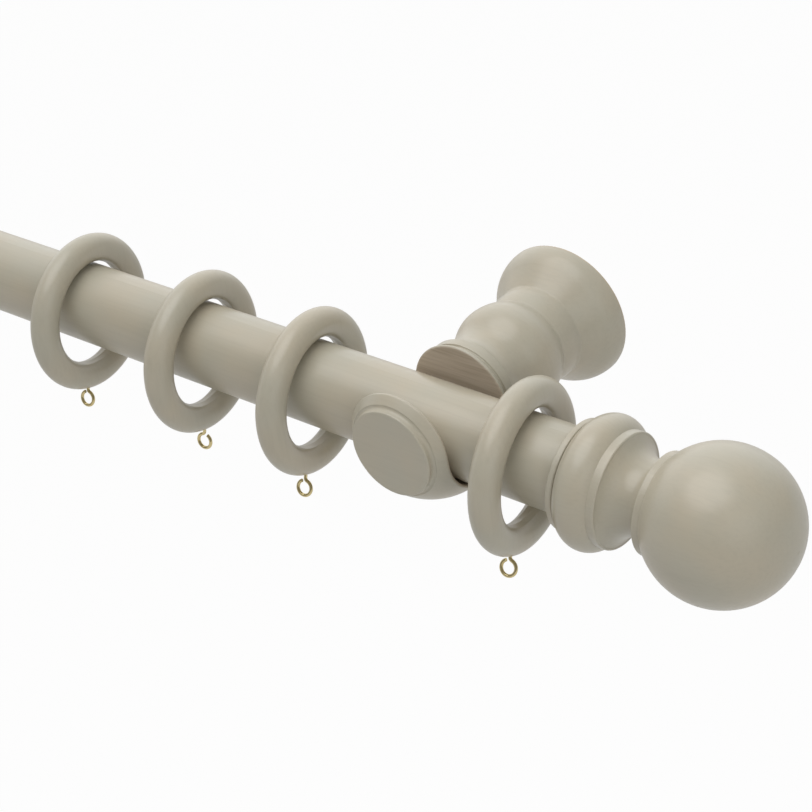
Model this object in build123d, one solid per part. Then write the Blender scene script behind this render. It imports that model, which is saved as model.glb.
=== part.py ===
from build123d import *
import os
from math import acos, atan2, cos, degrees, hypot, radians, sin, sqrt

# A turned and painted wooden curtain pole on two cup brackets, with a ball finial
# at each end and rings that carry a brass screw eye. All sizes are in millimetres.
# The frame: the origin is the middle of the right bracket's wall face, X runs along
# the pole to the right, Y runs into the wall and Z is up.

# Pole and the slot that it lies in
pole_diameter = 35.0
pole_length = 1200.0
bracket_inset = 68.0          # pole end to the axis of the bracket beside it
slot_clearance = 0.3          # round the pole where it lies in the slot
slot_play = 3.3               # spare width of the slot on the room side
slot_round = 0.8              # sanded edge of the slot

# Bracket, turned about an axis square to the wall, from the wall to the room
bracket_rise = 2.4            # bracket axis above the pole axis
rim_radius = 31.0
rim_lip = 1.0                 # straight edge against the wall
bell_round = 15.0             # radius of the bell's shoulder
bell_length = 17.9
bell_valley_radius = 21.0
bead_length = 11.1
bead_swell = 0.55
bulb_valley_radius = 20.2
bulb_back_length = 12.0       # valley to the bulb's crest
bulb_radius = 23.5
bulb_front_length = 17.0      # crest to the thinnest part of the neck
bulb_front_share = 0.46       # share of that length that still bulges
neck_radius = 18.9
neck_front_length = 7.0
neck_lip = 0.7                # step from the neck up to the band
band_radius = 21.9
band_length = 4.5
groove_length = 1.1
groove_hollow = 0.5
cup_back_radius = 21.4        # where the ball of the cup leaves the groove
cup_wall = 10.8               # wood under the pole
cup_forward = 2.0             # middle of the ball in front of the pole axis
cup_front_radius = 20.5       # where the ball ends before the front disc
front_groove_length = 1.4
front_groove_hollow = 0.5
disc_radius = 18.9
disc_length = 1.4

# Softened corners of the turned pieces
edge_round = 0.6
groove_round = 0.25
valley_round = 1.8

# Wall fixing, hidden in the bracket's back
plate_radius = 20.0
plate_thickness = 2.0
plate_clearance = 0.5
plate_hole_radius = 2.5
plate_hole_spacing = 28.0
screw_head_room = 4.5
stud_radius = 4.0
stud_length = 18.0
thread_clearance = 0.05
insert_wall = 2.0
insert_length = 16.0
bore_spare = 2.0              # empty depth past a screw's tip

# Ball finial, from the pole end outwards
finial_gap = 0.1
flange_overhang = 4.8         # flange past the pole's surface
flange_width = 2.8
bead_step = 0.8               # crease where the big bead leaves its flange
big_bead_width = 15.6
big_bead_swell = 4.8
finial_band_width = 3.5
finial_band_rise = 0.9        # narrow band past the flange's radius
cove_step = 1.2
cove_width = 14.3
cove_radius = 15.2            # thinnest part of the finial
collar_rise = 2.0
collar_width = 3.0
collar_radius = 20.4
finial_ball_radius = 30.7
bolt_in_finial = 30.0

# Rings and screw eyes
ring_slack = 5.85             # ring bore past the pole's radius
ring_thickness = 12.6
ring_land_angle = 25.0        # half angle of the two faces that meet in the inner ridge
hang_clearance = 0.3          # ring bore to the top of the pole
ring_skew = 5.5               # degrees that a hanging ring stands askew on the pole
ring_gaps = (63.8, 63.0, 69.5, 112.0)  # bracket axis to the first ring, then ring to ring
eye_turns = (21.0, 12.0, 18.0, 15.0)   # degrees that each ring's eye leans to the room
eye_drops = (6.4, 6.4, 5.4, 5.4)       # ring's surface to the middle of the loop
reversed_eye = 2              # the ring whose loop opens to the other side
end_ring_gap = 42.6           # bracket axis to the ring next to the finial
end_eye_turn = 24.0
end_eye_drop = 5.4
eye_wire = 1.5
eye_loop_diameter = 8.1
eye_bend_radius = 1.5
eye_length = 13.4             # tip of the screw to the middle of the loop
eye_fit = 0.02
eye_seam_angle = 118.0        # where the loop's end stops beside its shank

pole_radius = pole_diameter / 2
slot_radius = pole_radius + slot_clearance
cup_radius = slot_radius + bracket_rise + cup_wall
stem_length = (rim_lip + bell_length + bead_length + bulb_back_length + bulb_front_length
               + neck_front_length + band_length + groove_length)
cup_middle = stem_length + sqrt(cup_radius**2 - cup_back_radius**2)
pole_y = cup_forward - cup_middle
pole_z = -bracket_rise
right_end = bracket_inset
left_end = right_end - pole_length
left_bracket = left_end + bracket_inset
insert_radius = stud_radius + thread_clearance + insert_wall
recess = plate_thickness + screw_head_room
ring_tube = ring_thickness / 2
ring_radius = pole_radius + ring_slack + ring_tube
ring_outer = ring_radius + ring_tube
ring_drop = ring_slack - hang_clearance
sides = (("right", 0.0, 1), ("left", left_bracket, -1))


def rod(radius, length, axis, start):
    """A round bar that starts at a place and runs along an axis."""
    plane = Plane(origin=start, z_dir=axis)
    return plane * Cylinder(radius, length, align=(Align.CENTER, Align.CENTER, Align.MIN))


def bulged(start, end, bulge):
    """An arc between two points, its middle moved to the left of the way by a bulge."""
    chord = Vector(end[0] - start[0], end[1] - start[1])
    side = Vector(-chord.Y, chord.X).normalized() * bulge
    middle = ((start[0] + end[0]) / 2 + side.X, (start[1] + end[1]) / 2 + side.Y)
    return ThreePointArc(start, middle, end)


def softened(face, corners, radius):
    """Round the corners of an outline that lie at the given points."""
    return fillet([face.vertices().sort_by_distance(corner)[0] for corner in corners], radius)


def pole():
    bar = rod(pole_radius, pole_length, (1, 0, 0), (left_end, pole_y, pole_z))
    for end, outward in ((right_end, 1), (left_end, -1)):
        mouth = (end, pole_y, pole_z)
        inward = (-outward, 0, 0)
        bar -= rod(insert_radius, insert_length, inward, mouth)
        bar -= rod(stud_radius + thread_clearance, insert_length + bore_spare, inward, mouth)
    return bar


def threaded_insert(mouth, inward):
    """A brass bush that is pressed into a bore and takes a stud or a bolt."""
    bush = rod(insert_radius, insert_length, inward, mouth)
    return bush - rod(stud_radius + thread_clearance, insert_length, inward, mouth)


def bracket_outline():
    """Half of the turned shape: X is the radius and Y the distance from the wall."""
    rim = (rim_radius, 0)
    lip = (rim_radius, rim_lip)
    bell_valley = (bell_valley_radius, rim_lip + bell_length)
    bulb_valley = (bulb_valley_radius, bell_valley[1] + bead_length)
    crest = (bulb_radius, bulb_valley[1] + bulb_back_length)
    neck = (neck_radius, crest[1] + bulb_front_length)
    turn = (
        crest[0] + bulb_front_share * (neck[0] - crest[0]),
        crest[1] + bulb_front_share * (neck[1] - crest[1]),
    )
    band_back = (band_radius, neck[1] + neck_front_length)
    neck_end = (band_radius - neck_lip, band_back[1])
    band_front = (band_radius, band_back[1] + band_length)
    ball_back = (cup_back_radius, stem_length)
    ball_front = (cup_front_radius, cup_middle + sqrt(cup_radius**2 - cup_front_radius**2))
    disc_back = (disc_radius, ball_front[1] + front_groove_length)
    disc_front = (disc_radius, disc_back[1] + disc_length)

    # The bell's shoulder is an arc, and its flank leaves the arc without a corner.
    shoulder = (rim_radius - bell_round, rim_lip)
    across = bell_valley[0] - shoulder[0]
    along = bell_valley[1] - shoulder[1]
    flank_angle = atan2(along, across) - acos(bell_round / hypot(across, along))
    flank = (
        shoulder[0] + bell_round * cos(flank_angle),
        shoulder[1] + bell_round * sin(flank_angle),
    )
    face = make_face(Wire([
        Line((0, 0), rim),
        Line(rim, lip),
        TangentArc(lip, flank, tangent=(0, 1)),
        Line(flank, bell_valley),
        bulged(bell_valley, bulb_valley, -bead_swell),
        TangentArc(crest, bulb_valley, tangent=(0, -1)),
        TangentArc(crest, turn, tangent=(0, 1)),
        TangentArc(neck, turn, tangent=(0, -1)),
        TangentArc(neck, neck_end, tangent=(0, 1)),
        Line(neck_end, band_back),
        Line(band_back, band_front),
        bulged(band_front, ball_back, groove_hollow),
        ThreePointArc(ball_back, (cup_radius, cup_middle), ball_front),
        bulged(ball_front, disc_back, front_groove_hollow),
        Line(disc_back, disc_front),
        Line(disc_front, (0, disc_front[1])),
        Line((0, disc_front[1]), (0, 0)),
    ]))
    face = softened(face, (bell_valley, bulb_valley), valley_round)
    face = softened(face, (rim, band_back, disc_front), edge_round)
    return softened(face, (band_front, ball_back, ball_front), groove_round)


def pole_slot():
    """The space that is cut through the ball of a cup: round below and open above.

    It follows the pole on the wall side and opens wider towards the room.
    """
    reach = 2 * cup_radius
    bottom = (0, -slot_radius)
    back = (slot_radius, 0)
    front = (-slot_radius - slot_play, slot_play)
    section = make_face(Wire([
        TangentArc(bottom, back, tangent=(1, 0)),
        Line(back, (back[0], reach)),
        Line((back[0], reach), (front[0], reach)),
        Line((front[0], reach), front),
        TangentArc(bottom, front, tangent=(-1, 0)),
    ]))
    across = Plane(origin=(0, pole_y, pole_z), x_dir=(0, 1, 0), z_dir=(1, 0, 0))
    return extrude(across * section, amount=reach, both=True)


def bracket(x):
    """The turned bracket, its slot for the pole and the bores in its back."""
    turned = Rot(Z=180) * revolve(bracket_outline(), Axis.Y)
    body = turned - pole_slot()
    edges = new_edges(turned, combined=body).filter_by(GeomType.LINE, reverse=True)
    body = fillet(edges, slot_round)
    room_side = (0, -1, 0)
    seat = (0, -recess, 0)
    body -= rod(plate_radius + plate_clearance, recess, room_side, (0, 0, 0))
    body -= rod(insert_radius, insert_length, room_side, seat)
    body -= rod(stud_radius + thread_clearance, insert_length + bore_spare, room_side, seat)
    return Pos(x, 0, 0) * body


def wall_plate(x):
    plate = rod(plate_radius, plate_thickness, (0, -1, 0), (0, 0, 0))
    for z in (-plate_hole_spacing / 2, plate_hole_spacing / 2):
        plate -= rod(plate_hole_radius, plate_thickness, (0, -1, 0), (0, 0, z))
    return Pos(x, 0, 0) * plate


def finial_outline():
    """Half of the turned finial: X runs outwards from the pole and Y is the radius."""
    flange = pole_radius + flange_overhang
    band = flange + finial_band_rise
    flange_out = (flange_width, flange)
    crease = (flange_width, flange - bead_step)
    band_in = (flange_width + big_bead_width, band)
    bead_top = ((crease[0] + band_in[0]) / 2, flange + big_bead_swell)
    band_out = (band_in[0] + finial_band_width, band)
    cove_in = (band_out[0], band - cove_step)
    cove_out = (band_out[0] + cove_width, collar_radius - collar_rise)
    fall = cove_in[1] - cove_radius
    rise = cove_out[1] - cove_radius
    thinnest = (cove_in[0] + cove_width * fall / (fall + rise), cove_radius)
    collar_in = (cove_out[0], collar_radius)
    collar_out = (collar_in[0] + collar_width, collar_radius)
    ball = collar_out[0] + sqrt(finial_ball_radius**2 - collar_radius**2)
    tip = (ball + finial_ball_radius, 0)
    face = make_face(Wire([
        Line((0, 0), (0, flange)),
        Line((0, flange), flange_out),
        Line(flange_out, crease),
        ThreePointArc(crease, bead_top, band_in),
        Line(band_in, band_out),
        Line(band_out, cove_in),
        TangentArc(thinnest, cove_in, tangent=(-1, 0)),
        TangentArc(thinnest, cove_out, tangent=(1, 0)),
        Line(cove_out, collar_in),
        Line(collar_in, collar_out),
        ThreePointArc(collar_out, (ball, finial_ball_radius), tip),
        Line(tip, (0, 0)),
    ]))
    return softened(face, ((0, flange), flange_out, band_out, collar_in), edge_round)


def finial(end, outward):
    body = revolve(finial_outline(), Axis.X)
    bore = bolt_in_finial + bore_spare
    body -= rod(stud_radius + thread_clearance, bore, (1, 0, 0), (0, 0, 0))
    turn = Rot(Z=0 if outward > 0 else 180)
    return Pos(end + outward * finial_gap, pole_y, pole_z) * turn * body


def finial_bolt(end, outward):
    """A bolt that the finial is screwed on with: half in the pole, half in the finial."""
    start = (end - outward * insert_length, pole_y, pole_z)
    return rod(stud_radius, insert_length + bolt_in_finial, (outward, 0, 0), start)


def plain_ring(drop):
    """A turned ring about X, its two inner faces meeting in a fine ridge, drilled for an eye."""
    land = radians(ring_land_angle)
    near = (ring_tube * sin(land), ring_radius - ring_tube * cos(land))
    far = (-near[0], near[1])
    ridge = (0, ring_radius - ring_tube)
    section = make_face(Wire([
        ThreePointArc(near, (0, ring_outer), far),
        Line(far, ridge),
        Line(ridge, near),
    ]))
    depth = eye_length - drop
    tip = (0, 0, depth - ring_outer)
    return revolve(section, Axis.X) - rod(eye_wire / 2 + eye_fit, eye_length, (0, 0, -1), tip)


def plain_eye(drop):
    """A wire eye under a ring: shank, bend and loop in one length of wire."""
    loop = (eye_loop_diameter - eye_wire) / 2
    middle = -(ring_outer + drop)
    bend_height = sqrt((eye_bend_radius + loop) ** 2 - eye_bend_radius**2)
    lean = degrees(atan2(bend_height, eye_bend_radius))
    tip = middle + eye_length
    bend_start = middle + bend_height
    path = Wire([
        Line((0, tip), (0, bend_start)),
        CenterArc((eye_bend_radius, bend_start), eye_bend_radius, 180, lean),
        CenterArc((0, middle), loop, lean, eye_seam_angle - 360 - lean),
    ])
    section = Plane(origin=(0, tip, 0), z_dir=(0, -1, 0)) * Circle(eye_wire / 2)
    return Plane.XZ * sweep(section, path=path)


def hang(shape, x, turn):
    """Hang a ring or its eye on the pole, turned towards the room and a little askew."""
    place = Pos(x, pole_y, pole_z - ring_drop)
    return place * Rot(Z=ring_skew) * Rot(X=-turn) * shape


def save(name, shape):
    export_step(shape, f"parts/{name}.step")
    print(name, round(shape.volume / 1000, 2), "cm3")


os.makedirs("parts", exist_ok=True)
save("pole", pole())
for side, x, outward in sides:
    end = x + outward * bracket_inset
    save(f"bracket_{side}", bracket(x))
    save(f"bracket_insert_{side}", threaded_insert((x, -recess, 0), (0, -1, 0)))
    save(f"wall_plate_{side}", wall_plate(x))
    save(f"wall_stud_{side}", rod(stud_radius, stud_length, (0, -1, 0), (x, -plate_thickness, 0)))
    save(f"pole_insert_{side}", threaded_insert((end, pole_y, pole_z), (-outward, 0, 0)))
    save(f"finial_bolt_{side}", finial_bolt(end, outward))
    save(f"finial_{side}", finial(end, outward))
    reach = 0
    for number, (gap, turn, drop) in enumerate(zip(ring_gaps, eye_turns, eye_drops), 1):
        reach += gap
        place = x - outward * reach
        facing = Rot(Z=180 if number == reversed_eye else 0)
        save(f"ring_{side}_{number}", hang(plain_ring(drop), place, turn))
        save(f"ring_eye_{side}_{number}", hang(facing * plain_eye(drop), place, turn))
    place = x + outward * end_ring_gap
    save(f"ring_{side}_end", hang(plain_ring(end_eye_drop), place, end_eye_turn))
    save(f"ring_eye_{side}_end", hang(plain_eye(end_eye_drop), place, end_eye_turn))
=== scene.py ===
# %% [markdown]
# A turned wooden curtain pole in satin taupe paint: a pole, two cup brackets, two ball finials
# and ten rings with brass screw eyes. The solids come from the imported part, so this lesson is
# about their finish: paint over wood, brass wire, zinc-plated steel, the rolled threads, and
# the light of a plain white studio.

# %% Load the part as a fixed frame
import math

import bpy
from mathutils import Matrix, Vector


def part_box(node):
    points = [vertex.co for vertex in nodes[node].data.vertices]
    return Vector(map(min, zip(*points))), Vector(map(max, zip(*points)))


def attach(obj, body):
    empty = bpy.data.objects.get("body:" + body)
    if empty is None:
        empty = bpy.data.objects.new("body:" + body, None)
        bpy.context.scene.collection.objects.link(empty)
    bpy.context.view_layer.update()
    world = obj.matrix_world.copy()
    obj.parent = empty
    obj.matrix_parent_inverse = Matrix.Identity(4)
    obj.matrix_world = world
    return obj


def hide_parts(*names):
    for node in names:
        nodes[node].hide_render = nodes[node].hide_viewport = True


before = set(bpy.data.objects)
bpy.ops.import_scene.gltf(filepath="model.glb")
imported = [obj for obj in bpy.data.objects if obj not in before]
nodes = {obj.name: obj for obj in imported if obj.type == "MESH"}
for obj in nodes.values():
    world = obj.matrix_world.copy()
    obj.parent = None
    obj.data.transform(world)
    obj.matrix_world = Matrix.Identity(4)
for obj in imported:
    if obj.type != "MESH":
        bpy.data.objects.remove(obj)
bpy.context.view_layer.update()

# %% [markdown]
# The real sizes that finishes and threads need are read from the solids' own boxes: the line
# of the pole, the place of each bracket and where the pole is cut. Read this way they follow
# the part when its sizes change, where typed numbers would stay behind.

# %% Measure the solids
MM = 0.001
X, Y, Z = range(3)         # along the pole, towards the wall, and up


def middle(node):
    """The middle of a solid's box."""
    low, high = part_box(node)
    return (low + high) / 2


pole_low, pole_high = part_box("pole")
pole_line = middle("pole")
pole_radius = (pole_high.z - pole_low.z) / 2
bracket_at = {side: middle(f"wall_plate_{side}") for side in ("right", "left")}
ring_line = middle("ring_right_1")
print("pole radius", round(pole_radius / MM, 2), "mm, brackets at x",
      [round(place.x / MM, 1) for place in bracket_at.values()])

# %% [markdown]
# Two helpers serve every finish. Colours are picked as sRGB hex values, the way a paint chart
# is read on a screen, and shaders want linear light, so one function converts them. The other
# adds a node with its settings, and its inputs as plain values or as links from other nodes.
# An input is picked by its name or its number. Map Range and Mix have several inputs of one
# name, so the numbers of those get names of their own.

# %% Colour and node helpers
FROM_LOW, FROM_HIGH, TO_LOW, TO_HIGH = 1, 2, 3, 4      # inputs of Map Range
COLOUR_A, COLOUR_B, COLOUR_OUT = 6, 7, 2               # sockets of Mix where it mixes colours
NUMBER_A, NUMBER_B = 2, 3                              # inputs of Mix where it mixes numbers


def linear(code):
    """A hex colour as linear RGB with full alpha, by the curve of the sRGB standard."""
    channels = [int(code[i:i + 2], 16) / 255 for i in (1, 3, 5)]
    return [c / 12.92 if c <= 0.04045 else ((c + 0.055) / 1.055) ** 2.4 for c in channels] + [1.0]


def add(tree, kind, inputs=None, **settings):
    """Add one node to a tree. Inputs are named or numbered, and are values or other sockets."""
    node = tree.nodes.new(kind)
    for name, value in settings.items():
        setattr(node, name, value)
    for key, value in (inputs or {}).items():
        if isinstance(value, bpy.types.NodeSocket):
            tree.links.new(value, node.inputs[key])
        else:
            node.inputs[key].default_value = value
    return node


def new_material(name):
    """An empty material with its node tree and the output that a shader goes to."""
    material = bpy.data.materials.new(name)
    material.use_nodes = True
    tree = material.node_tree
    tree.nodes.clear()
    return material, tree, add(tree, "ShaderNodeOutputMaterial")


# %% [markdown]
# Some faces are not finished like the rest: the walls of the slots, the backs of the brackets and
# the pole's cut ends. A mask finds such faces by where they are and which way they look.
# Splitting the mesh into face groups would do too, but a rule still holds when the solid is
# packed again with other triangles. Two measures serve the masks.

# %% Which way a face looks, and where it is from the pole
ACROSS_POLE = (0, 1, 1)    # keeps the part of a direction that lies across the pole


def facing(tree, direction):
    """How far a face looks along a direction: 1 along a unit direction, -1 against it."""
    normal = add(tree, "ShaderNodeNewGeometry").outputs["True Normal"]
    look = add(tree, "ShaderNodeVectorMath", {0: normal, 1: direction}, operation="DOT_PRODUCT")
    return look.outputs["Value"]


def from_pole(tree, place):
    """The way from the middle of the pole to a point, and the part of it across the pole."""
    out = add(tree, "ShaderNodeVectorMath", {0: place, 1: pole_line}, operation="SUBTRACT")
    across = add(tree, "ShaderNodeVectorMath", {0: out.outputs[0], 1: ACROSS_POLE},
                 operation="MULTIPLY")
    return out.outputs[0], across.outputs[0]


# %% [markdown]
# The spray only just reaches the walls of a slot, so the paint is thin and brown there. These
# walls look at the line of the pole, and the outside of the cup looks away from it. The mask
# ends behind the slot, because the bulb and the bell lie further back.

# %% Mask for the thin paint in a slot
SLOT_REACH = 0.6 * MM      # past the pole's surface, so that the slot's back wall is included
SOFT_EDGE = 3 * MM         # over which the thin paint fades into the full coat


def slot_walls(tree, place):
    """1 on the walls of a bracket's slot, which look at the line of the pole."""
    out, across = from_pole(tree, place)
    turned_in = add(tree, "ShaderNodeMapRange",
                    {0: facing(tree, across), FROM_LOW: SOFT_EDGE, FROM_HIGH: -SOFT_EDGE})
    depth = add(tree, "ShaderNodeSeparateXYZ", {0: out}).outputs["Y"]
    before_back = add(tree, "ShaderNodeMath", {0: depth, 1: pole_radius + SLOT_REACH},
                      operation="LESS_THAN")
    walls = add(tree, "ShaderNodeMath", {0: turned_in.outputs[0], 1: before_back.outputs[0]},
                operation="MULTIPLY")
    return walls.outputs[0]


print("thin paint to", round((pole_radius + SLOT_REACH) / MM, 1), "mm behind the pole's line")

# %% [markdown]
# The back of a bracket lies on the wall, so it stays bare beech, with the recess that takes the
# wall plate. The rim round it is rubbed where it touches the wall, so the bare wood fades out
# over the last millimetre of the paint and doesn't end in a line.

# %% Mask for the bare back of a bracket
BACK_DEPTH = 10 * MM       # the bracket's back face and the recess in it
BACK_FACING = (0.8, 0.95)  # how squarely a face looks at the wall, from painted to bare
RIM_WEAR = 1.2 * MM        # how far the paint is rubbed off the rim that touches the wall
RIM_BARE = 0.7             # share of bare wood at the very edge of that rim


def wall_side(tree, place):
    """1 on the faces of a bracket that lie against the wall, fading out over its worn rim."""
    depth = add(tree, "ShaderNodeSeparateXYZ", {0: place}).outputs["Y"]
    near = add(tree, "ShaderNodeMath", {0: depth, 1: -BACK_DEPTH}, operation="GREATER_THAN")
    looking = add(tree, "ShaderNodeMapRange",
                  {0: facing(tree, (0, 1, 0)), FROM_LOW: BACK_FACING[0], FROM_HIGH: BACK_FACING[1]})
    back = add(tree, "ShaderNodeMath", {0: looking.outputs[0], 1: near.outputs[0]},
               operation="MULTIPLY")
    rim = add(tree, "ShaderNodeMapRange",
              {0: depth, FROM_LOW: -RIM_WEAR, FROM_HIGH: 0.0, TO_HIGH: RIM_BARE})
    bare = add(tree, "ShaderNodeMath", {0: back.outputs[0], 1: rim.outputs[0]}, operation="MAXIMUM")
    return bare.outputs[0]


print("bare backs to", round(BACK_DEPTH / MM, 1), "mm from the wall")

# %% [markdown]
# The pole is cut to length after it is painted, and each finial has a bare face that meets the
# cut, so both show wood when a finial is unscrewed. The finial's flange is wider than the pole,
# and its overhanging ring is painted, so this mask also ends at the pole's radius.

# %% Mask for the cut ends of the pole
END_DEPTH = 0.5 * MM       # round the plane where a finial meets the pole
END_FACING = (0.9, 0.98)   # how squarely a face looks along the pole, from painted to bare
end_reach = (pole_high.x - pole_low.x) / 2 + END_DEPTH


def cut_ends(tree, place):
    """1 on the flat faces where the pole and its finials meet, no further out than the pole."""
    out, across = from_pole(tree, place)
    distance = add(tree, "ShaderNodeVectorMath", {0: across}, operation="LENGTH").outputs["Value"]
    within = add(tree, "ShaderNodeMath", {0: distance, 1: pole_radius}, operation="LESS_THAN")
    along = add(tree, "ShaderNodeSeparateXYZ", {0: out}).outputs["X"]
    near = add(tree, "ShaderNodeMath", {0: along, 1: 0.0, 2: end_reach}, operation="COMPARE")
    flat = add(tree, "ShaderNodeMath", {0: facing(tree, (1, 0, 0))}, operation="ABSOLUTE")
    looking = add(tree, "ShaderNodeMapRange",
                  {0: flat.outputs[0], FROM_LOW: END_FACING[0], FROM_HIGH: END_FACING[1]})
    there = add(tree, "ShaderNodeMath", {0: near.outputs[0], 1: within.outputs[0]},
                operation="MULTIPLY")
    ends = add(tree, "ShaderNodeMath", {0: looking.outputs[0], 1: there.outputs[0]},
               operation="MULTIPLY")
    return ends.outputs[0]


print("bare ends to", round(end_reach / MM, 1), "mm from the pole's middle")

# %% [markdown]
# The paint is a sprayed satin taupe on sanded beech, so the wood still speaks through it: long
# grain shows as faint streaks, turning leaves fine circles round each piece, and the film has
# a slight orange peel. A picture of painted wood would need an unwrapped surface. Noise on
# Object coordinates runs through the solid as grain does, so a ball and a bead cut across it as
# the real ones do. Every scale is a real size in millimetres turned into waves per metre.

# %% Wood under the film, and the film's peel
GRAIN_LENGTH = 38 * MM
GRAIN_WIDTH = 1.3 * MM
LATHE_SPACING = 1.5 * MM
PEEL_SIZE = 2.2 * MM
CLOUD_SIZE = 26 * MM


def wood_and_film(tree, local, grain, turning):
    """Four noises: fibres, slow clouds of colour, the film's peel and circles from the lathe."""
    stretch = [1 / GRAIN_WIDTH] * 3
    stretch[grain] = 1 / GRAIN_LENGTH
    fibres = add(tree, "ShaderNodeVectorMath", {0: local, 1: stretch}, operation="MULTIPLY")
    streaks = add(tree, "ShaderNodeTexNoise",
                  {"Vector": fibres.outputs[0], "Scale": 1.0, "Detail": 3.0, "Roughness": 0.6,
                   "Distortion": 0.3})
    clouds = add(tree, "ShaderNodeTexNoise",
                 {"Vector": local, "Scale": 1 / CLOUD_SIZE, "Detail": 2.0, "Roughness": 0.5})
    peel = add(tree, "ShaderNodeTexNoise",
               {"Vector": local, "Scale": 1 / PEEL_SIZE, "Detail": 2.0, "Roughness": 0.5})
    axes = add(tree, "ShaderNodeSeparateXYZ", {0: local})
    circles = add(tree, "ShaderNodeTexNoise",
                  {"W": axes.outputs[turning], "Scale": 1 / LATHE_SPACING, "Detail": 2.0},
                  noise_dimensions="1D")
    return [noise.outputs["Fac"] for noise in (streaks, clouds, peel, circles)]


print("grain", round(GRAIN_WIDTH / MM, 1), "mm wide and", round(GRAIN_LENGTH / MM, 1), "mm long")

# %% [markdown]
# The coat drifts between two close taupes, and a little of the grain shows through. Creases get
# a painted shade, darker where the solid is shut in. Edges are lighter, partly as paint rubbed
# thin and partly as a painted highlight. Such marks can be painted on by hand for each piece. Here
# they come from how open the solid is round each point: a crease is shut in from outside, and an
# edge has little wood inside.

# %% Colour of the coat
PAINT_WARM = linear("#B9B09C")
PAINT_COOL = linear("#B4AF9E")
GRAIN_SHADE = linear("#A69F8E")
# painted shade in creases, darkest where the solid is most shut in
PAINTED_CREASE_SHADE = linear("#8E8471")
# lighter edges: paint rubbed thin there, and partly a painted highlight
EDGE_WEAR_AND_HIGHLIGHT = linear("#D9D4CA")
CREASE_REACH = 4 * MM
EDGE_REACH = 0.8 * MM
OPENNESS_RAYS = 8
CLOUD_SPAN = (0.35, 0.65)  # the part of each noise, or of the openness, that is spread out
GRAIN_SPAN = (0.45, 0.75)
CREASE_SPAN = (0.85, 0.3)
EDGE_SPAN = (0.9, 0.45)
GRAIN_SEEN = 0.25          # how much of each shade shows where it is strongest
CREASE_SEEN = 0.25
EDGE_SEEN = 0.4


def coat_colour(tree, streaks, clouds):
    """The coat with grain, painted shade in creases, and edges worn light with a painted highlight.
    """
    drift = add(tree, "ShaderNodeMapRange",
                {0: clouds, FROM_LOW: CLOUD_SPAN[0], FROM_HIGH: CLOUD_SPAN[1]})
    coat = add(tree, "ShaderNodeMix",
               {0: drift.outputs[0], COLOUR_A: PAINT_WARM, COLOUR_B: PAINT_COOL}, data_type="RGBA")
    # how shut in each point is from outside, which sets the painted shade in creases
    outside = add(tree, "ShaderNodeAmbientOcclusion", {"Distance": CREASE_REACH},
                  samples=OPENNESS_RAYS, only_local=True).outputs["AO"]
    # how little wood lies inside each point, which sets the worn and painted-highlight edges
    inside = add(tree, "ShaderNodeAmbientOcclusion", {"Distance": EDGE_REACH},
                 samples=OPENNESS_RAYS, inside=True, only_local=True).outputs["AO"]
    colour = coat.outputs[COLOUR_OUT]
    for sign, span, seen, shade in ((streaks, GRAIN_SPAN, GRAIN_SEEN, GRAIN_SHADE),
                                    (outside, CREASE_SPAN, CREASE_SEEN, PAINTED_CREASE_SHADE),
                                    (inside, EDGE_SPAN, EDGE_SEEN, EDGE_WEAR_AND_HIGHLIGHT)):
        share = add(tree, "ShaderNodeMapRange",
                    {0: sign, FROM_LOW: span[0], FROM_HIGH: span[1], TO_HIGH: seen})
        mixed = add(tree, "ShaderNodeMix",
                    {0: share.outputs[0], COLOUR_A: colour, COLOUR_B: shade}, data_type="RGBA")
        colour = mixed.outputs[COLOUR_OUT]
    return colour


print("creases reach", round(CREASE_REACH / MM, 1), "mm, edges", round(EDGE_REACH / MM, 1), "mm")

# %% [markdown]
# Thin paint and bare beech show their fibres plainly and are duller than the satin film. They
# could be materials of their own, but then the mesh would have to be split. As layers over the
# coat they use the same streaks, so the grain runs on from the paint into the bare wood.

# %% Thin paint and bare beech
THIN_PAINT = linear("#BDB09F")
THIN_STREAK = linear("#A89A87")
BARE_BEECH = linear("#D0B48C")
BEECH_FLECK = linear("#AE8D61")
FIBRE_SPAN = (0.4, 0.7)    # the part of the streaks that is spread out
DULL = 0.62                # roughness of thin paint and of bare wood


def open_wood(tree, streaks, share, light, dark, colour, gloss):
    """Lay wood with plain fibres over a colour and a gloss, where share is 1."""
    fibre = add(tree, "ShaderNodeMapRange",
                {0: streaks, FROM_LOW: FIBRE_SPAN[0], FROM_HIGH: FIBRE_SPAN[1]})
    wood = add(tree, "ShaderNodeMix", {0: fibre.outputs[0], COLOUR_A: light, COLOUR_B: dark},
               data_type="RGBA")
    seen = add(tree, "ShaderNodeMix",
               {0: share, COLOUR_A: colour, COLOUR_B: wood.outputs[COLOUR_OUT]}, data_type="RGBA")
    dulled = add(tree, "ShaderNodeMix", {0: share, NUMBER_A: gloss, NUMBER_B: DULL})
    return seen.outputs[COLOUR_OUT], dulled.outputs[0]


print("open wood has a roughness of", DULL)

# %% [markdown]
# All of it meets in one shader for each kind of piece, because each has its own axis on the lathe
# and its own run of the grain. A satin film is about a third rough and varies with its peel. The
# relief is a few hundredths of a millimetre: fibres sink, and the peel stands out.

# %% Taupe paint over beech
PEEL_SPAN = (0.3, 0.7)     # the part of the peel that is spread over the roughness
SATIN = (0.28, 0.35)       # roughness of the film
PAINT_IOR = 1.65           # pigment makes the film reflect a little more than clear lacquer
GRAIN_RELIEF = -0.5        # height of fibres and peel, against the lathe's circles
PEEL_RELIEF = 0.5
SKIN_HEIGHT = 0.03 * MM
SKIN_SEEN = 0.2


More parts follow.
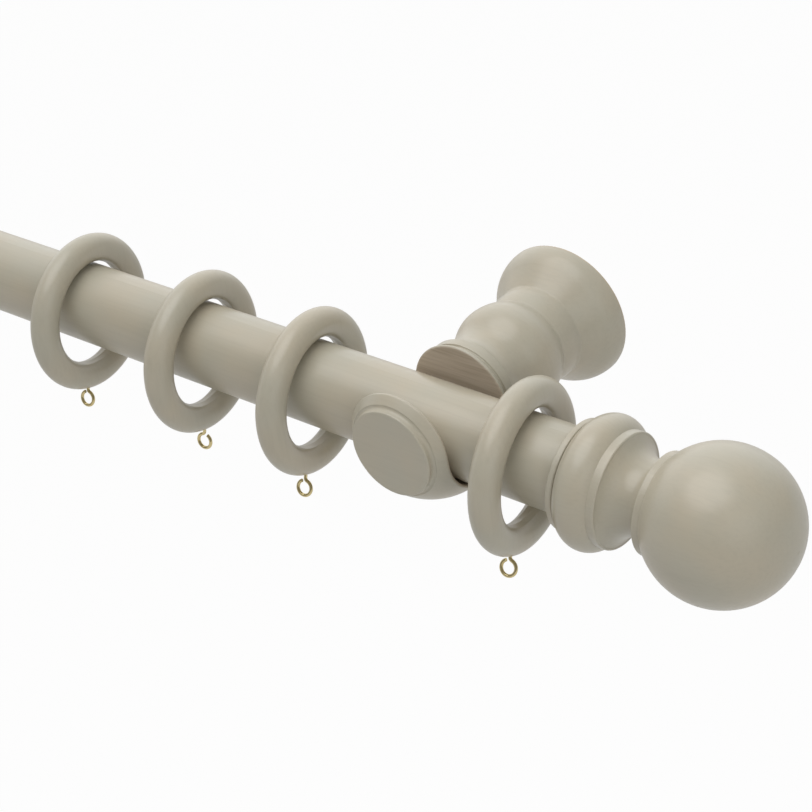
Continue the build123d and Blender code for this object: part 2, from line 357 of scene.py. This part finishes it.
def taupe_paint(name, grain, turning, centre, thin=None, bare=None):
    """Paint on a piece whose grain runs along one axis and that was turned about another.

    grain is the number of the axis that the fibres follow, turning the axis of the lathe, and
    centre a point on that axis. thin and bare are the masks of thin paint and of bare wood.
    """
    material, tree, output = new_material(name)
    place = add(tree, "ShaderNodeTexCoord").outputs["Object"]
    local = add(tree, "ShaderNodeVectorMath", {0: place, 1: centre}, operation="SUBTRACT")
    streaks, clouds, peel, circles = wood_and_film(tree, local.outputs[0], grain, turning)
    colour = coat_colour(tree, streaks, clouds)
    gloss = add(tree, "ShaderNodeMapRange",
                {0: peel, FROM_LOW: PEEL_SPAN[0], FROM_HIGH: PEEL_SPAN[1],
                 TO_LOW: SATIN[0], TO_HIGH: SATIN[1]}).outputs[0]
    for mask, light, dark in ((thin, THIN_PAINT, THIN_STREAK), (bare, BARE_BEECH, BEECH_FLECK)):
        if mask:
            colour, gloss = open_wood(tree, streaks, mask(tree, place), light, dark, colour, gloss)
    relief = add(tree, "ShaderNodeMath", {0: streaks, 1: GRAIN_RELIEF, 2: circles},
                 operation="MULTIPLY_ADD")
    skin = add(tree, "ShaderNodeMath", {0: peel, 1: PEEL_RELIEF, 2: relief.outputs[0]},
               operation="MULTIPLY_ADD")
    bump = add(tree, "ShaderNodeBump",
               {"Strength": SKIN_SEEN, "Distance": SKIN_HEIGHT, "Height": skin.outputs[0]})
    shader = add(tree, "ShaderNodeBsdfPrincipled",
                 {"Base Color": colour, "Roughness": gloss, "IOR": PAINT_IOR,
                  "Normal": bump.outputs[0]})
    tree.links.new(shader.outputs[0], output.inputs[0])
    return material


paints = {
    "pole": taupe_paint("taupe_paint_on_beech_pole", X, X, pole_line, bare=cut_ends),
    "finial": taupe_paint("taupe_paint_on_turned_beech_finial", X, X, pole_line, bare=cut_ends),
    "ring": taupe_paint("taupe_paint_on_turned_beech_ring", Z, X, ring_line),
}
for side, place in bracket_at.items():
    paints[f"bracket_{side}"] = taupe_paint(f"taupe_paint_on_turned_beech_bracket_{side}", X, Y,
                                            place, thin=slot_walls, bare=wall_side)
print("paints:", [material.name for material in paints.values()])

# %% [markdown]
# The screw eyes and the pressed-in bushes are brass: drawn wire with a bright lacquer, a little
# darker in patches where fingers and air have dulled it. Wall plates, studs and finial bolts are
# steel with a thin bright zinc coat, which is greyer than chrome and slightly cloudy, with soft
# patches a few millimetres across. A metal takes its colour from its reflection, so the colour
# goes to the base and the roughness carries the wear. Both are the same recipe with other
# values, so one function makes them.

# %% Brass wire and zinc-plated steel
PATCH_SPAN = (0.3, 0.7)    # the part of the noise that is spread over the roughness
PATCH_HEIGHT = 0.02 * MM


def clouded_metal(name, bright, dull, patch, detail, breakup, roughness, relief):
    """A bare metal that is duller in soft patches.

    patch is the size of the patches, detail and breakup how fine and how ragged they are,
    roughness its least and greatest value, and relief how strongly the patches stand out.
    """
    material, tree, output = new_material(name)
    place = add(tree, "ShaderNodeTexCoord").outputs["Object"]
    patches = add(tree, "ShaderNodeTexNoise",
                  {"Vector": place, "Scale": 1 / patch, "Detail": detail,
                   "Roughness": breakup}).outputs["Fac"]
    colour = add(tree, "ShaderNodeMix", {0: patches, COLOUR_A: bright, COLOUR_B: dull},
                 data_type="RGBA")
    gloss = add(tree, "ShaderNodeMapRange",
                {0: patches, FROM_LOW: PATCH_SPAN[0], FROM_HIGH: PATCH_SPAN[1],
                 TO_LOW: roughness[0], TO_HIGH: roughness[1]})
    bump = add(tree, "ShaderNodeBump",
               {"Strength": relief, "Distance": PATCH_HEIGHT, "Height": patches})
    shader = add(tree, "ShaderNodeBsdfPrincipled",
                 {"Base Color": colour.outputs[COLOUR_OUT], "Metallic": 1.0,
                  "Roughness": gloss.outputs[0], "Normal": bump.outputs[0]})
    tree.links.new(shader.outputs[0], output.inputs[0])
    return material


brass = clouded_metal("drawn_brass_wire", linear("#E4D6A8"), linear("#C3AE78"), patch=3.5 * MM,
                      detail=4.0, breakup=0.6, roughness=(0.1, 0.22), relief=0.2)
zinc = clouded_metal("zinc_plated_steel", linear("#C6C9CB"), linear("#A3A6A6"), patch=4 * MM,
                     detail=5.0, breakup=0.65, roughness=(0.28, 0.46), relief=0.15)
print("metals:", brass.name, "and", zinc.name)

# %% [markdown]
# Each solid now gets its finish. A node's name starts with the kind of piece it is, so the
# longest kind that fits its name picks the material.

# %% Dress the solids
finishes = dict(paints, ring_eye=brass, pole_insert=brass, bracket_insert=brass,
                wall_plate=zinc, wall_stud=zinc, finial_bolt=zinc)
for name, solid in nodes.items():
    kind = max((k for k in finishes if name.startswith(k)), key=len)
    solid.data.materials.clear()
    solid.data.materials.append(finishes[kind])
print(len(nodes), "solids dressed in", len(set(finishes.values())), "finishes")

# %% [markdown]
# The studs in the wall plates and the bolts that carry the finials have a rolled thread, which
# shows when a finial is unscrewed. A thread is one rule, so Geometry Nodes make it: the side of
# a cylinder is pushed in by a triangle wave that climbs one pitch for each turn. A Screw modifier
# would do as well, but leaves open ends, where the cylinder brings its own caps. The tree ends
# in one plain mesh for each body, because copies that only exist as instances are not exported.

# %% Tree for a rolled thread
PITCH = 1.25 * MM
THREAD_DEPTH = 0.6 * MM
STEPS_PER_TURN = 10
SIDES = 32


def thread_tree():
    """A row of threaded rods, with their sizes, place and finish as named inputs."""
    tree = bpy.data.node_groups.new("rolled_thread", "GeometryNodeTree")
    kinds = {"Radius": "Float", "Depth": "Float", "Pitch": "Float", "Length": "Float",
             "Steps": "Int", "Count": "Int", "Start": "Vector", "Spacing": "Vector",
             "Along": "Vector", "Finish": "Material"}
    for name, kind in kinds.items():
        tree.interface.new_socket(name=name, in_out="INPUT", socket_type=f"NodeSocket{kind}")
    tree.interface.new_socket(name="Geometry", in_out="OUTPUT", socket_type="NodeSocketGeometry")
    size = add(tree, "NodeGroupInput").outputs
    rod = add(tree, "GeometryNodeMeshCylinder",
              {"Vertices": SIDES, "Side Segments": size["Steps"], "Radius": size["Radius"],
               "Depth": size["Length"]}, fill_type="NGON")

    # The phase counts turns along the thread. The wave swings from 0 to a half and back in each
    # turn, so twice the depth takes it down to the root.
    place = add(tree, "GeometryNodeInputPosition").outputs[0]
    axes = add(tree, "ShaderNodeSeparateXYZ", {0: place})
    angle = add(tree, "ShaderNodeMath", {0: axes.outputs["Y"], 1: axes.outputs["X"]},
                operation="ARCTAN2")
    turn = add(tree, "ShaderNodeMath", {0: angle.outputs[0], 1: 2 * math.pi}, operation="DIVIDE")
    climb = add(tree, "ShaderNodeMath", {0: axes.outputs["Z"], 1: size["Pitch"]},
                operation="DIVIDE")
    phase = add(tree, "ShaderNodeMath", {0: climb.outputs[0], 1: turn.outputs[0]},
                operation="SUBTRACT")
    wave = add(tree, "ShaderNodeMath", {0: phase.outputs[0], 1: 0.5}, operation="PINGPONG")
    twice = add(tree, "ShaderNodeMath", {0: size["Depth"], 1: -2.0}, operation="MULTIPLY")
    radius = add(tree, "ShaderNodeMath",
                 {0: wave.outputs[0], 1: twice.outputs[0], 2: size["Radius"]},
                 operation="MULTIPLY_ADD")
    share = add(tree, "ShaderNodeMath", {0: radius.outputs[0], 1: size["Radius"]},
                operation="DIVIDE").outputs[0]
    inward = add(tree, "ShaderNodeCombineXYZ", {0: share, 1: share, 2: 1.0})
    moved = add(tree, "ShaderNodeVectorMath", {0: place, 1: inward.outputs[0]},
                operation="MULTIPLY")
    cut = add(tree, "GeometryNodeSetPosition",
              {"Geometry": rod.outputs["Mesh"], "Position": moved.outputs[0]})

    row = add(tree, "GeometryNodeMeshLine",
              {"Count": size["Count"], "Start Location": size["Start"], "Offset": size["Spacing"]})
    lean = add(tree, "FunctionNodeAlignRotationToVector", {"Vector": size["Along"]}, axis="Z")
    rods = add(tree, "GeometryNodeInstanceOnPoints",
               {"Points": row.outputs[0], "Instance": cut.outputs[0], "Rotation": lean.outputs[0]})
    real = add(tree, "GeometryNodeRealizeInstances", {0: rods.outputs[0]})
    coated = add(tree, "GeometryNodeSetMaterial",
                 {"Geometry": real.outputs[0], "Material": size["Finish"]})
    add(tree, "NodeGroupOutput", {0: coated.outputs[0]})
    return tree


thread = thread_tree()
thread_inputs = [item for item in thread.interface.items_tree if item.in_out == "INPUT"]
print("thread tree with inputs", [item.name for item in thread_inputs])

# %% [markdown]
# Each rod takes its place and size from the plain bar that it replaces. The modifier's inputs
# are set by the sockets' identifiers before the first evaluation, the result becomes a plain
# mesh, and the helper object is removed again.

# %% Bolts and studs with their thread
SMOOTH_BELOW = math.radians(50)


def threaded_rods(name, bars, axis, body):
    """Threaded rods in place of plain bars of one size that lie in a row and follow one axis."""
    low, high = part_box(bars[0])
    centres = [middle(bar) for bar in bars]
    length = (high - low)[axis]
    along = [0, 0, 0]
    along[axis] = 1
    inputs = {"Radius": (high - low)[(axis + 1) % 3] / 2, "Depth": THREAD_DEPTH, "Pitch": PITCH,
              "Length": length, "Steps": round(length / PITCH * STEPS_PER_TURN),
              "Count": len(bars), "Start": centres[0], "Spacing": centres[-1] - centres[0],
              "Along": along, "Finish": zinc}
    helper = bpy.data.objects.new("thread_helper", bpy.data.meshes.new("thread_helper"))
    bpy.context.scene.collection.objects.link(helper)
    modifier = helper.modifiers.new("thread", "NODES")
    modifier.node_group = thread
    for item in thread_inputs:
        modifier[item.identifier] = inputs[item.name]
    evaluated = helper.evaluated_get(bpy.context.evaluated_depsgraph_get())
    mesh = bpy.data.meshes.new_from_object(evaluated)
    helper.modifiers.remove(modifier)
    bpy.data.objects.remove(helper)
    mesh.name = name
    mesh.shade_smooth()
    mesh.set_sharp_from_angle(angle=SMOOTH_BELOW)
    rods = bpy.data.objects.new(name, mesh)
    bpy.context.scene.collection.objects.link(rods)
    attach(rods, body)
    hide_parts(*bars)
    print(name, "has", len(mesh.polygons), "faces and is", round(length / MM, 1), "mm long")


for side in bracket_at:
    threaded_rods(f"threaded_finial_bolt_{side}", [f"finial_bolt_{side}"], X, f"finial_bolt_{side}")
threaded_rods("threaded_wall_studs", [f"wall_stud_{side}" for side in bracket_at], Y, "brackets")

# %% [markdown]
# The object hangs at window height over a pale studio floor, so its shadow falls far below the
# picture. The floor is lit like everything else, and is lifted to the white of the backdrop where
# the camera sees it, and half as much in the gloss of the paint. More light would whiten it too,
# but would bleach the paint.

# %% Studio floor
FLOOR_DROP = 2.2           # metres
FLOOR_SIZE = 40.0
FLOOR_PAINT = linear("#F2F1EE")
WHITE = linear("#FFFFFF")
FLOOR_WHITE = 0.96         # share of plain white where the camera sees the floor
FLOOR_GLOSS = 0.5          # the same share in the gloss of the paint

half = FLOOR_SIZE / 2
corners = [(-half, -half, -FLOOR_DROP), (half, -half, -FLOOR_DROP),
           (half, half, -FLOOR_DROP), (-half, half, -FLOOR_DROP)]
floor_mesh = bpy.data.meshes.new("studio_floor")
floor_mesh.from_pydata(corners, [], [(0, 1, 2, 3)])
floor = bpy.data.objects.new("studio_floor", floor_mesh)
bpy.context.scene.collection.objects.link(floor)
floor_paint, tree, output = new_material("white_studio_floor")
rays = add(tree, "ShaderNodeLightPath").outputs
gloss = add(tree, "ShaderNodeMath", {0: rays["Is Glossy Ray"], 1: FLOOR_GLOSS},
            operation="MULTIPLY")
share = add(tree, "ShaderNodeMath",
            {0: rays["Is Camera Ray"], 1: FLOOR_WHITE, 2: gloss.outputs[0]},
            operation="MULTIPLY_ADD")
matt = add(tree, "ShaderNodeBsdfDiffuse", {"Color": FLOOR_PAINT})
white = add(tree, "ShaderNodeEmission", {"Color": WHITE, "Strength": 1.0})
mixed = add(tree, "ShaderNodeMixShader",
            {0: share.outputs[0], 1: matt.outputs[0], 2: white.outputs[0]})
tree.links.new(mixed.outputs[0], output.inputs[0])
floor_mesh.materials.append(floor_paint)
print("floor", FLOOR_DROP, "m below the brackets")

# %% [markdown]
# The backdrop is plain white to the camera. As a light it is weak all round and strong on one
# side, behind the far end of the pole, which gives the top of the pole its long pale streak. A
# lit card could do the same, but would stand in the picture from other sides.

# %% Backdrop
ROOM_LIGHT = 0.28          # the studio's soft light from all sides
BACKDROP_LIGHT = 1.35      # the lit backdrop behind the pole, towards its far end
BACKDROP_SIDE = (-0.68, 0.68, 0.25)
BACKDROP_EDGE = 0.2        # where its light begins: 1 is its middle and 0 is square to that

world = bpy.data.worlds.new("white_studio")
bpy.context.scene.world = world
world.use_nodes = True
tree = world.node_tree
tree.nodes.clear()
way = add(tree, "ShaderNodeTexCoord").outputs["Generated"]
toward = add(tree, "ShaderNodeVectorMath", {0: way, 1: BACKDROP_SIDE}, operation="DOT_PRODUCT")
glow = add(tree, "ShaderNodeMapRange",
           {0: toward.outputs["Value"], FROM_LOW: BACKDROP_EDGE, FROM_HIGH: 1.0,
            TO_LOW: ROOM_LIGHT, TO_HIGH: BACKDROP_LIGHT}, interpolation_type="SMOOTHSTEP")
rays = add(tree, "ShaderNodeLightPath").outputs
level = add(tree, "ShaderNodeMix",
            {0: rays["Is Camera Ray"], NUMBER_A: glow.outputs[0], NUMBER_B: 1.0})
sky = add(tree, "ShaderNodeBackground", {"Color": WHITE, "Strength": level.outputs[0]})
add(tree, "ShaderNodeOutputWorld", {0: sky.outputs[0]})
print("backdrop gives", ROOM_LIGHT, "to", BACKDROP_LIGHT)

# %% [markdown]
# A wide soft lamp overhead gives the pale tops and the shade under each bead. A weaker one beside
# the camera opens the shade on the sides, and is kept out of the gloss, so that the ball shows
# one soft highlight and not two. Broad lamps are used rather than small ones because the
# photograph shows no hard shadow.

# %% Studio lamps
LAMP_DISTANCE = 2.0        # metres


def soft_lamp(name, direction, width, watts, mirrored=True):
    """A round lamp that shines on the right bracket from a direction, seen in the gloss or not."""
    lamp = bpy.data.lights.new(name, "AREA")
    lamp.shape = "DISK"
    lamp.size = width
    lamp.energy = watts
    stand = bpy.data.objects.new(name, lamp)
    towards_lamp = Vector(direction).normalized()
    stand.location = towards_lamp * LAMP_DISTANCE
    stand.rotation_euler = towards_lamp.to_track_quat("Z", "Y").to_euler()
    stand.visible_camera = False
    stand.visible_glossy = mirrored
    bpy.context.scene.collection.objects.link(stand)
    print(name, watts, "W")


soft_lamp("soft_box_overhead", direction=(-0.15, -0.24, 0.96), width=2.2, watts=22.0)
soft_lamp("fill_beside_the_camera", direction=(0.8, -0.45, 0.42), width=1.6, watts=11.0,
          mirrored=False)

# %% [markdown]
# The camera stands where the photographer stood: to the right of the bracket, well above it and
# slightly tilted. Its place is given from the pole's right end, as a turn about the upright, a
# rise and a roll, so that the picture of the pole end lands where the photograph has it.

# %% Camera
AZIMUTH = 0.72479          # radians, from square to the pole towards its right end
ELEVATION = 0.58746
ROLL = -0.11888
STAND_OFF = 0.75380        # metres, from the pole's right end
SHIFT_RIGHT = 0.064698
SHIFT_UP = -0.025666
LENS_PIXELS = 2000.0       # focal length in pixels of the picture
PICTURE_PIXELS = 812.0
SENSOR_WIDTH = 36.0        # millimetres
NEAREST = 0.01             # metres, where the camera begins to see

pole_end = Vector((pole_high.x, pole_line.y, pole_line.z))
level_right = Vector((math.cos(AZIMUTH), math.sin(AZIMUTH), 0))
towards = Vector((math.sin(AZIMUTH) * math.cos(ELEVATION), -math.cos(AZIMUTH) * math.cos(ELEVATION),
                  math.sin(ELEVATION)))
level_up = towards.cross(level_right)
picture_right = math.cos(ROLL) * level_right + math.sin(ROLL) * level_up
picture_up = math.cos(ROLL) * level_up - math.sin(ROLL) * level_right
camera = bpy.data.cameras.new("camera")
camera.sensor_width = SENSOR_WIDTH
camera.lens = SENSOR_WIDTH * LENS_PIXELS / PICTURE_PIXELS
camera.clip_start = NEAREST
camera_object = bpy.data.objects.new("camera", camera)
turn = Matrix((picture_right, picture_up, towards)).transposed().to_4x4()
stand = pole_end + towards * STAND_OFF - picture_right * SHIFT_RIGHT - picture_up * SHIFT_UP
camera_object.matrix_world = Matrix.Translation(stand) @ turn
bpy.context.scene.collection.objects.link(camera_object)
bpy.context.scene.camera = camera_object
bpy.context.scene.view_settings.view_transform = "Standard"
print("camera at", [round(c, 3) for c in stand], "with a", round(camera.lens, 1), "mm lens")
